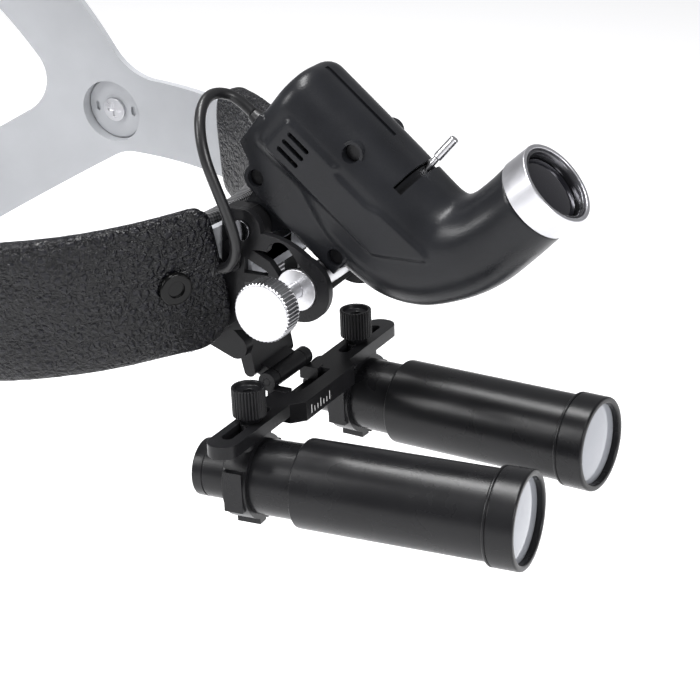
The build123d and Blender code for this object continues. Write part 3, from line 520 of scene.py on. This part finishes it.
def studio():
    """Dim even surroundings and three soft lights."""
    world = bpy.data.worlds.new("studio")
    world.use_nodes = True
    background = world.node_tree.nodes["Background"]
    background.inputs["Color"].default_value = (1.0, 1.0, 1.02, 1)
    background.inputs["Strength"].default_value = 0.32
    bpy.context.scene.world = world
    middle = (0, -0.07, 0)
    soft_light("top", (-0.10, 0.05, 0.85), (0.8, 0.16), 12, middle)
    soft_light("side", (-0.70, 0.50, 0.50), (0.20, 0.5), 6, middle)
    soft_light("front", (-0.35, -1.0, 0.35), (0.4, 0.2), 5, middle)
    bpy.context.scene.view_settings.view_transform = "Standard"


# ---- cable --------------------------------------------------------------------------------------
def cable_line():
    """Points of a smooth line along the lead's route."""
    data = bpy.data.curves.new("lead_line", "CURVE")
    data.dimensions = "3D"
    data.resolution_u = 16
    spline = data.splines.new("NURBS")
    spline.points.add(len(CABLE_ROUTE) - 1)
    for point, place in zip(spline.points, CABLE_ROUTE):
        point.co = (*place, 1)
    spline.order_u = 3
    spline.use_endpoint_u = True
    line = add("lead_line", data)
    bpy.context.view_layer.update()
    graph = bpy.context.evaluated_depsgraph_get()
    sampled = bpy.data.meshes.new_from_object(line.evaluated_get(graph))
    path = [v.co.copy() for v in sampled.vertices]
    bpy.data.objects.remove(line)
    return path


def cable():
    """The lead: a round sheath along the route's smooth line, bending between band and lamp."""
    path = cable_line()
    around, points = 28, []
    normal = Vector((1, 0, 0))
    for i, p in enumerate(path):
        along = (path[min(i + 1, len(path) - 1)] - path[max(i - 1, 0)]).normalized()
        normal = (normal - along * normal.dot(along)).normalized()
        side = along.cross(normal)
        for k in range(around):
            turn = 2 * pi * k / around
            points.append((p + (normal * cos(turn) + side * sin(turn)) * CABLE_R * MM) / MM)
    made = form("lead", points, tube_faces(len(path), around))
    made.data.materials.append(FINISH["cable_black"])
    made.data.shade_smooth()
    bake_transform(made)
    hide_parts("cable")
    length = sum((b - a).length for a, b in zip(path, path[1:]))
    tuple(path[0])


# ---- loupe barrels ------------------------------------------------------------------------------
def tube_pieces():
    """(piece, CAD node, points round it, softness, outline) for one barrel's four turned pieces."""
    main_in, cap_in, rear_in, eye_in = MAIN_R - 2.1, MAIN_R - 0.55, REAR_R - WALL, EYE_R - WALL
    main_end, seat, groove, notch = CAP_START - 0.05, MAIN_R - 0.6, CAP_R - 0.35, EYE_R - 0.3
    main = [(MAIN_START, REAR_R), (MAIN_START, MAIN_R), (main_end, MAIN_R), (main_end, seat),
            (CAP_END - 6.2, seat), (CAP_END - 6.2, main_in), (MAIN_START + 3, main_in),
            (MAIN_START + 3, REAR_R)]
    cap = [(CAP_START, cap_in), (CAP_START, CAP_R), (CAP_START + 0.9, CAP_R), (CAP_START + 0.9, groove),
           (CAP_START + 1.3, groove), (CAP_START + 1.3, CAP_R), (CAP_END, CAP_R), (CAP_END, CAP_INNER_R),
           (CAP_END - 2.2, CAP_INNER_R), (CAP_END - 2.2, cap_in)]
    rear = [(REAR_START, eye_in), (REAR_START, REAR_R), (MAIN_START + 4, REAR_R), (MAIN_START + 4, rear_in),
            (REAR_START + 3, rear_in), (REAR_START + 3, eye_in)]
    eye = [(EYE_END, eye_in), (EYE_END, EYE_R), (EYE_END + 3.4, EYE_R), (EYE_END + 3.4, notch),
           (EYE_END + 3.9, notch), (EYE_END + 3.9, EYE_R), (REAR_START, EYE_R), (REAR_START, eye_in)]
    return [("main_tube", "main_barrel", 128, 0.5, main), ("front_cap", "objective_cap", 128, 0.7, cap),
            ("rear_tube", "rear_barrel", 112, 0.6, rear), ("eye_tube", "eyepiece", 96, 0.6, eye)]


def barrels():
    """The two barrels, and the knurled nut on each one's stud."""
    waist, hollow = THUMB_R - 0.7, THUMB_R - 1.2
    nut = [(0.1, STUD_HOLE_R), (0.1, 3.4), (2.0, waist), (2.0, THUMB_R), (11.2, THUMB_R),
           (11.2, THUMB_R - 1.0), (9.7, hollow), (9.7, STUD_HOLE_R)]
    for name, side in SIDES.items():
        axis, body = tube_axis(side), f"barrel_{name}"
        for kind, node, around, soft, outline in tube_pieces():
            lathe(f"{kind}_{name}", outline, axis, body, "barrel_black", [f"{node}_{name}"],
                  around=around, soft=soft)
        lathe(f"stud_nut_{name}", nut, barrel(side), f"thumb_knob_{name}", "black_metal",
              [f"thumb_knob_{name}"], around=256, soft=0.35, ridges=knurl(32, 0.38, 4.9, 2.0))


def silver_knobs():
    """The knurled knobs at the ends of the clamp shaft and the pivot shaft."""
    kinds = (("clamp", CLAMP, CLAMP_FACE_X, KNOB_R), ("pivot", PIVOT, PIVOT_FACE_X, PIVOT_KNOB_R))
    for name, side in SIDES.items():
        for kind, point, face, r in kinds:
            place = at(side * (face - KNOB_W), *point) @ turned("Y", side * 90)
            flutes, neck = round(5 * r), r - 3.2
            outline = [(-1.4, 0), (-1.4, neck), (0, neck), (0, r - 0.5), (0.5, r),
                       (KNOB_W - 0.55, r), (KNOB_W, r - 0.6), (KNOB_W, 0)]
            lathe(f"{kind}_screw_{name}", outline, place, f"{kind}_knob_{name}", "silver_metal",
                  [f"{kind}_knob_{name}"], around=flutes * 8, soft=0.3, closed=False,
                  ridges=knurl(flutes, 0.5, r - 0.4, 1.4))


def ticks():
    """Plain scale marks on the front face of the bar's middle block."""
    first, pitch, half_w, face, deep, low = -12.4, 1.9, 0.17, -9.06, 0.2, -4.9
    sides = ((0, 1, 2, 3), (4, 7, 6, 5), (0, 4, 5, 1), (1, 5, 6, 2), (2, 6, 7, 3), (3, 7, 4, 0))
    points, faces = [], []
    for k in range(7):
        tall = 2.8 if k % 3 == 0 else 1.7
        x, start = first + pitch * k, len(points)
        corners = ((-half_w, 0), (half_w, 0), (half_w, tall), (-half_w, tall))
        points += [(x + dx, face + dy, low + dz) for dy in (0, deep) for dx, dz in corners]
        faces += [tuple(start + i for i in corner_ids) for corner_ids in sides]
    piece("scale_marks", points, faces, BAR, "loupe_bar", "black_metal", finish=TICK_WHITE)


# ---- lamp ---------------------------------------------------------------------------------------
def lamp_stations():
    """(upper point, lower point, half width, corner radius) down the lamp, points as (s, z).

    The first three are the straight body. The others turn up into the elbow, where a corner
    radius of 15 is wider than the section and so makes it round.
    """
    top, low, wide = LAMP_TOP, LAMP_BOTTOM, LAMP_HALF_W
    return [((5.0, top), (5.0, low), wide, SHOULDER_R), ((20.0, top), (20.0, 9.0), wide, 12.6),
            ((34.0, top), (34.5, 8.9), wide, 13.2), ((38.5, 49.7), (45.0, 11.3), wide, 14.0),
            ((41.0, 51.5), (54.5, 17.5), 14.8, 15.0), ((42.5, 55.0), (62.3, 29.3), 14.4, 15.0),
            ((43.3, 59.5), (66.6, 41.0), 13.8, 15.0), ((43.8, 64.0), (68.4, 54.0), 13.2, 15.0),
            ((44.1, 68.8), (69.3, 65.0), 12.85, 15.0)]


def curve_through(values, t):
    """Catmull-Rom through a list of vectors, t from 0 to len - 1."""
    i = min(int(t), len(values) - 2)
    u = t - i
    p0, p1 = values[max(i - 1, 0)], values[i]
    p2, p3 = values[i + 1], values[min(i + 2, len(values) - 1)]
    return 0.5 * (2 * p1 + (p2 - p0) * u + (2 * p0 - 5 * p1 + 4 * p2 - p3) * u * u
                  + (3 * p1 - p0 - 3 * p2 + p3) * u ** 3)


def lamp_section(upper, lower, half_width, corner, inset):
    """One closed section: a rounded box between two points of the middle plane."""
    middle, reach = (upper + lower) / 2, (upper - lower) / 2
    w, h = half_width - inset, reach.length - inset
    r = max(0.4, min(corner - inset, w, h))
    way = reach.normalized()
    points = []
    for sx, sy, start in ((1, 1, 0), (-1, 1, 90), (-1, -1, 180), (1, -1, 270)):
        for k in range(13):
            turn = radians(start + 7.5 * k)
            x, up = sx * (w - r) + r * cos(turn), sy * (h - r) + r * sin(turn)
            q = middle + way * up
            points.append((x, -q.x, q.y))
    return points


def lamp_form(inset=0.0):
    """Points and faces of the lamp: a rear cap, the rounded body, and the elbow that turns round."""
    stations = lamp_stations()
    uppers, lowers = [Vector(st[0]) for st in stations], [Vector(st[1]) for st in stations]
    sizes = [Vector(st[2:]) for st in stations]
    rings, cap_r, cap_steps, steps = [], 5.5, 8, 64
    for k in range(cap_steps + 1):
        lean = radians(90 * k / cap_steps)
        s, drawn = LAMP_REAR + inset + cap_r * (1 - cos(lean)), cap_r * (1 - sin(lean))
        upper, lower = Vector((s, LAMP_TOP)), Vector((s, LAMP_BOTTOM))
        rings.append(lamp_section(upper, lower, LAMP_HALF_W, SHOULDER_R, inset + drawn))
    for k in range(steps + 1):
        t = k / steps * (len(stations) - 1)
        upper, lower, size = (curve_through(values, t) for values in (uppers, lowers, sizes))
        rings.append(lamp_section(upper, lower, size.x, size.y, inset))
    return [p for ring in rings for p in ring], tube_faces(len(rings), len(rings[0]))


def keel_outline():
    """The lower part seen from the side, down to the screw bosses, as (y, z) points."""
    r, low, rear_y, front_y, inside_z = 4.4, 13.0, 18.5, -29.0, 30.0
    back = arc((7.4, low), r, -90, 20, 10)
    return back + [(rear_y, 18.0), (rear_y, inside_z), (front_y, inside_z), (front_y, low - r)]


def lug_outline():
    """Hinge lug round the pin, as (y, z) points."""
    return arc((0, 0), 5.6, -190, 0, 10) + [(6.6, 14.5), (-13.0, 14.5)]


def slot_cut(inner=9.0, outer=25.0):
    """An arc-shaped block over the lamp's top, for the lever's slot."""
    points, faces, steps = [], [], 24
    centre = BEAM_Z - 1.5
    for k in range(steps + 1):
        a = radians(-LEVER_SPAN + 2 * LEVER_SPAN * k / steps)
        for s in (IRIS_S - LEVER_SLOT_W / 2, IRIS_S + LEVER_SLOT_W / 2):
            for r in (inner, outer):
                points.append((r * sin(a), -s, centre + r * cos(a)))
    for k in range(steps):
        a, b = 4 * k, 4 * (k + 1)
        faces += [(a, a + 1, b + 1, b), (a + 2, b + 2, b + 3, a + 3)]
        faces += [(a, b, b + 2, a + 2), (a + 1, a + 3, b + 3, b + 1)]
    end = 4 * steps
    return points, faces + [(0, 2, 3, 1), (end, end + 1, end + 3, end + 2)]


def flank_outline():
    """The raised panel on each side, as (y, z) points."""
    sz = [(-11.5, 23.6), (-10.8, 36.0), (-9.8, 36.9), (8.0, 36.9), (10.6, 35.2), (23.6, 35.2), (27.7, 36.9),
          (45.5, 37.8), (47.6, 35.8), (36.8, 26.2), (33.4, 23.8), (-3.0, 23.8)]
    return [(-p.x, p.y) for p in rounded(sz, 1.2)]


def vent_outline(row):
    """One of the three cooling slots, a stadium as (y, z) points."""
    y, z, half, r = 3.6, 33.4 - 3.0 * row, 3.55, 0.75
    return arc((y + half, z), r, -90, 90, 30) + arc((y - half, z), r, 90, 270, 30)


def groove_outline():
    """The long shallow groove on the lamp's top, seen from the side, as (y, z) points."""
    above, floor = LAMP_TOP + 1, LAMP_TOP - 0.7
    return [(15.5, above), (14.5, floor), (-13.5, floor), (-14.5, above)]


def screw_places():
    """(s, z, half width) of the screws that join the lamp's two halves."""
    return [(-7.5, 13.0, 14.0), (10.0, 42.4, 13.9), (26.0, 13.4, 14.0)]


def lamp_body():
    """The closed outer form, with keel and side panels run into it and the joins softened."""
    shell = form("shell", *lamp_form(), LAMP)
    keel_half, flank_root = LAMP_HALF_W - 1.0, 12.0
    combine(shell, [form("keel", *plate(keel_outline(), -keel_half, keel_half), LAMP)], "UNION")
    for side in SIDES.values():
        raised = plate(flank_outline(), side * flank_root, side * (LAMP_HALF_W + FLANK_PROUD), 0.7)
        combine(shell, [form("flank", *raised, LAMP)], "UNION")
    melt = shell.modifiers.new("melt", "REMESH")
    melt.mode, melt.voxel_size = "VOXEL", 0.45 * MM
    ease = shell.modifiers.new("ease", "SMOOTH")
    ease.factor, ease.iterations = 0.5, 10
    settle(shell)
    return shell


def mouth_tool():
    """A round bar that opens the shell under the bright ring."""
    work = bmesh.new()
    bmesh.ops.create_cone(work, cap_ends=True, segments=64, radius1=(RING_R - 1.2) * MM,
                          radius2=(RING_R - 1.2) * MM, depth=(RING_L + 6) * MM)
    data = bpy.data.meshes.new("mouth")
    work.to_mesh(data)
    work.free()
    data.transform(OUTLET @ at(0, 0, -RING_L - 1))
    return add("mouth", data)


def lamp_cuts():
    """Tools for the lever's slot, groove, hinge pin, screw recesses, cooling slots and mouth."""
    cuts = [form("slot", *slot_cut(), LAMP), form("groove", *plate(groove_outline(), -0.9, 0.9), LAMP),
            form("pin_hole", *rod_x((0, 0), PIN_HOLE_R, -20, 20), LAMP)]
    for s, z, half_w in screw_places():
        cuts += [form("recess", *rod_x((-s, z), RECESS_R, side * (half_w - RECESS_DEEP), side * 20), LAMP)
                 for side in SIDES.values()]
    for row in range(3):
        cuts += [form("vent", *plate(vent_outline(row), side * 10.0, side * 20.0), LAMP)
                 for side in SIDES.values()]
    return cuts + [mouth_tool()]


def lamp_shell():
    """The moulded housing, hollowed and cut, then parted in two at the middle plane."""
    shell = lamp_body()
    combine(shell, [form("lug", *plate(lug_outline(), -LUG_HALF_W, LUG_HALF_W), LAMP)], "UNION")
    combine(shell, [form("core", *lamp_form(LAMP_WALL), LAMP)], "DIFFERENCE")
    posts = [form("post", *rod_x((-s, z), POST_R, 0.6 - half_w, half_w - 0.6), LAMP)
             for s, z, half_w in screw_places()]
    combine(shell, posts, "UNION")
    combine(shell, lamp_cuts(), "DIFFERENCE")
    outline = [(-120, -40), (60, -40), (60, 120), (-120, 120)]
    for name, side in SIDES.items():
        half = add(f"lamp_shell_{name}", shell.data.copy())
        combine(half, [form("block", *plate(outline, side * 0.01, side * 40), LAMP)], "INTERSECT")
        dress(half, "lamp", "black_plastic", [f"lamp_housing_{name}"])
    bpy.data.objects.remove(shell)


def lamp_front():
    """Bright ring, black bezel and dark lens at the lamp's mouth."""
    rim = RING_R - 1.3
    lathe("mouth_ring", [(-RING_L, rim), (-RING_L, RING_R), (0, RING_R), (0, rim)],
          OUTLET, "lamp", "silver_metal", ["outlet_ring"], BRUSHED, around=160, soft=0.35)
    deep, bezel_r = -RING_L - 2, rim - 0.05
    bezel = [(deep, bezel_r), (-0.9, bezel_r), (-0.9, rim - 0.5), (-0.5, rim - 0.5), (-0.5, rim - 1.0),
             (-1.6, rim - 1.3), (-3.2, rim - 1.5), (deep, rim - 1.5)]
    lathe("mouth_bezel", bezel, OUTLET, "lamp", "black_plastic", ["outlet_bezel"], MIRROR_BLACK,
          around=160, soft=0.2)
    lens_r, lens_edge, lens_back, bulge, steps = rim - 1.55, -3.4, -8.0, 1.3, 12
    leans = [radians(90 * k / steps) for k in range(steps + 1)]
    dome = [(lens_edge + bulge * cos(lean), lens_r * sin(lean)) for lean in leans]
    lathe("mouth_lens", dome + [(lens_back, lens_r), (lens_back, 0)], OUTLET, "lamp", "lens_glass",
          ["outlet_lens"], DARK_GLASS, around=96, soft=0.05, closed=False)


# ---- headband -----------------------------------------------------------------------------------
def boxed(value, power):
    """A sine or cosine pushed towards 1 or -1, which makes a round section squarer."""
    return abs(value) ** power * (1 if value > 0 else -1)


def relief(spot, level, puff, creases):
    """How far the skin stands off its even form: soft lumps, and creases along the edges."""
    lump = 0.35 * noise.noise(spot * 0.09) + 0.12 * noise.noise(spot * 0.33)
    edge = max(0.0, abs(level) - 0.72) / 0.28
    fold = abs(noise.noise(Vector((spot.x * 0.30, spot.y * 0.30, spot.z * 0.07)) + Vector((5, 5, 5))))
    return (lump - creases * edge * (1 - min(1.0, fold * 4.5))) * (1 if puff > 0 else -1) * abs(puff)


def wrap(name, slot, stands_for, front, end, thick, height, mid_inset, lift=0.0, creases=0.3,
         flare=0.0, sag=0.0):
    """A padded sleeve round the band. front and end give the arc angle for a height share.

    flare is how far the front edge's lower part stands out from the band, and sag how much
    lower the rear end hangs.
    """
    along, around, round_off, flare_reach = 150, 60, 3.2, 18.0
    points = []
    a, b = BAND_A - mid_inset, BAND_B - mid_inset
    for i in range(along + 1):
        share = i / along
        for k in range(around):
            turn = 2 * pi * k / around
            puff, level = boxed(cos(turn), 0.42), boxed(sin(turn), 0.80)
            start, stop = front(level), end(level)
            t = start + (stop - start) * share
            arc_length = (stop - start) * (a + b) / 2
            gap = min(share, 1 - share) * abs(arc_length)
            close = sqrt(max(0.0, 1 - (1 - min(1.0, gap / round_off)) ** 2)) * 0.97 + 0.03
            spot = Vector((a * sin(t), -b * cos(t), lift - sag * share * share + level * height(t) / 2))
            outward = Vector((sin(t) / a, -cos(t) / b, 0)).normalized()
            skin = puff * thick / 2 * close + relief(spot, level, puff, creases) * close
            skin += flare * max(0.0, 1 - share * abs(arc_length) / flare_reach) ** 2 * (0.7 - 0.3 * level)
            points.append(spot + outward * skin)
    made = piece(name, points, tube_faces(along + 1, around), BAND, "headband", slot, stands_for)
    made.modifiers.clear()
    finer = made.modifiers.new("finer", "SUBSURF")
    finer.levels = finer.render_levels = 1
    return made


def covers():
    """Padded leather sleeves over the front of the strap."""
    mid = COVER_T / 2
    a, b = BAND_A - mid, BAND_B - mid
    for name, side in SIDES.items():
        slip = COVER_SLIP if side < 0 else 0.0
        stop, taper = acos(-(COVER_END_Y + slip) / b), acos(-(TAPER_Y + slip) / b)

        def height(t, stop=stop, taper=taper):
            share = min(1.0, max(0.0, (abs(t) - taper) / (stop - taper)))
            return COVER_H + (COVER_END_H - COVER_H) * share ** 2

        def front(level, side=side):
            top, low = 4.0, 13.0
            corner = top if level > 0 else low
            over = max(0.0, abs(level) * COVER_H / 2 - (COVER_H / 2 - corner))
            x = COVER_FRONT_X + corner - sqrt(max(0.0, corner ** 2 - over ** 2))
            x -= side * level * COVER_H / 2 * sin(radians(BAND_ROLL))
            return side * asin(x / a)

        def end(level, side=side, stop=stop):
            return side * stop

        made = wrap(f"leather_{name}", "leather_black", [f"cover_{name}"], front, end, COVER_T, height, mid,
                    flare=2.6, sag=2.5)


def pad():
    """Lining pad inside the brow."""
    reach = asin(PAD_HALF_W / (BAND_A - PAD_INSET))
    made = wrap("brow_cushion", "pad_fabric", ["brow_pad"], lambda level: -reach, lambda level: reach,
                PAD_T, lambda t: PAD_H, PAD_INSET, lift=PAD_LIFT, creases=0.1)


# ---- carried-over CAD nodes ---------------------------------------------------------------------
# Widths of softened edges in millimetres, finishes that aren't the slot's, and nodes left as they are.
FINE_EDGE = 0.15
EDGE_WIDTH = {"band_strap": 0.5, "nape_housing": 0.6, "loupe_bar": 0.3, "base_plate": 0.3,
              "loupe_arm": 0.35, "cheek_left": 0.3, "cheek_right": 0.3}
OWN_FINISH = {"base_plate": HINGE_PLATE, "bar_hinge_pin": FINISH["black_metal"],
              "base_screws": FINISH["black_metal"], "lamp_hinge_pin": MIRROR_BLACK}
SMOOTH_NODES = ("eye_lens", "objective_lens", "condenser_lens", "emitter", "fold_mirror", "prism")


def soften(node, width):
    """Softens a CAD node's edges by width in millimetres, with modifiers, so that they catch the light."""
    weld = node.modifiers.new("weld", "WELD")
    weld.merge_threshold = 0.01 * MM
    flat = node.modifiers.new("flat", "DECIMATE")
    flat.decimate_type, flat.angle_limit = "DISSOLVE", radians(0.6)
    edge = node.modifiers.new("edge", "BEVEL")
    edge.width, edge.segments = width * MM, 2
    edge.limit_method, edge.angle_limit = "ANGLE", radians(32)
    edge.use_clamp_overlap = True
    edge.miter_outer = "MITER_ARC"
    node.data.shade_smooth()
    shaded = node.modifiers.new("weighted", "WEIGHTED_NORMAL")
    shaded.keep_sharp = False


def carried_over():
    """Every CAD node that stays gets its slot's finish, or its own, and, unless it is one of the smooth nodes,
    softer edges.
    """
    slot_of = {s["node"]: s["material_slot"] for s in frame["record"]["subparts"]}
    for name, node in frame["nodes"].items():
        if node.hide_render:
            continue
        node.data.materials.clear()
        node.data.materials.append(OWN_FINISH.get(name, FINISH[slot_of[name]]))
        if not name.startswith(SMOOTH_NODES):
            soften(node, EDGE_WIDTH.get(name, FINE_EDGE))


camera()
white_floor()
studio()
cable()
barrels()
silver_knobs()
ticks()
lamp_shell()
lamp_front()
covers()
pad()
carried_over()
